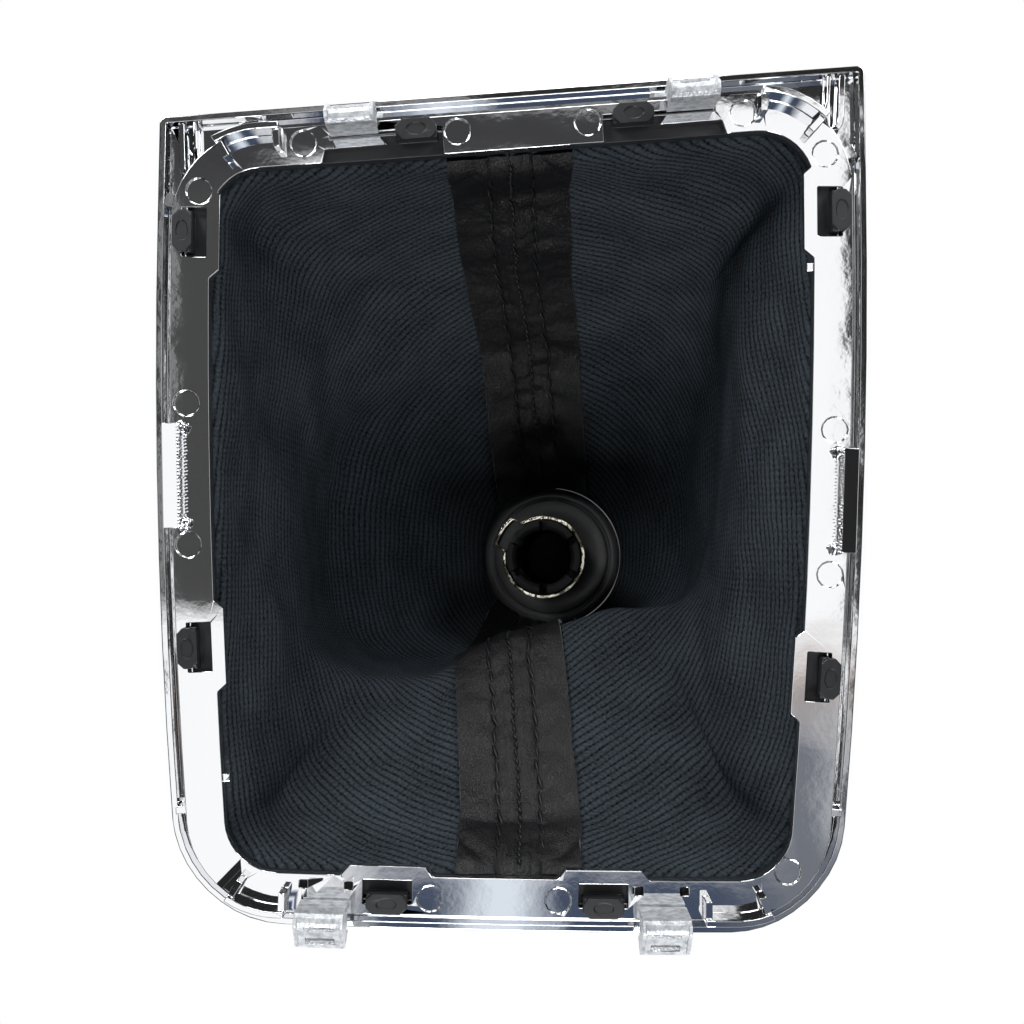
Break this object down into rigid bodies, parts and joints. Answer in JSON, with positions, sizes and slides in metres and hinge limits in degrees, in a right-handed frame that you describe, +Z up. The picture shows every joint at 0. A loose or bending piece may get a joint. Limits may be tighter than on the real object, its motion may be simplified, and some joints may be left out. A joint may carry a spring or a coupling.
{
  "type": "gear knob with gaiter",
  "caption": "Manual gear knob with a leather gaiter, plated trim frame, steel spring clips and a collet sleeve that clamps to the gear lever.",
  "frame": {"origin": "middle of the footprint, level with the lowest points of the spring clips", "axes": "+Z up towards the knob's head, +Y towards the square-cornered front edge of the trim frame, +X to the right when facing front"},
  "size_m": [0.1292, 0.156, 0.1884],
  "materials": {
    "chrome": "mirror bright plating on ABS",
    "black_plastic": "moulded, satin",
    "backed_leather": "fine grain outside, ribbed blue-black knit inside",
    "leather_tape": "fine grain, stitched",
    "zinc_plate": "grainy bright zinc plate",
    "nickel_plate": "bright, slightly warm nickel plate",
    "grip_leather": "smooth",
    "black_gloss": "gloss"
  },
  "bodies": {
    "root": {"bezel_frame": "chrome", "gaiter_ring": "black_plastic", "gaiter_left_panel": "backed_leather", "gaiter_right_panel": "backed_leather", "front_seam_tape": "leather_tape", "rear_seam_tape": "leather_tape", "spring_clip_front_right": "zinc_plate", "spring_clip_front_left": "zinc_plate", "spring_clip_rear_right": "zinc_plate", "spring_clip_rear_left": "zinc_plate", "knob_core": "black_plastic", "ear_clamp": "nickel_plate", "gaiter_neck_collar": "black_plastic", "neck_retaining_ring": "black_plastic", "knob_trim_ring": "chrome", "knob_grip": "grip_leather", "knob_cap": "black_gloss"}
  },
  "joints": []
}
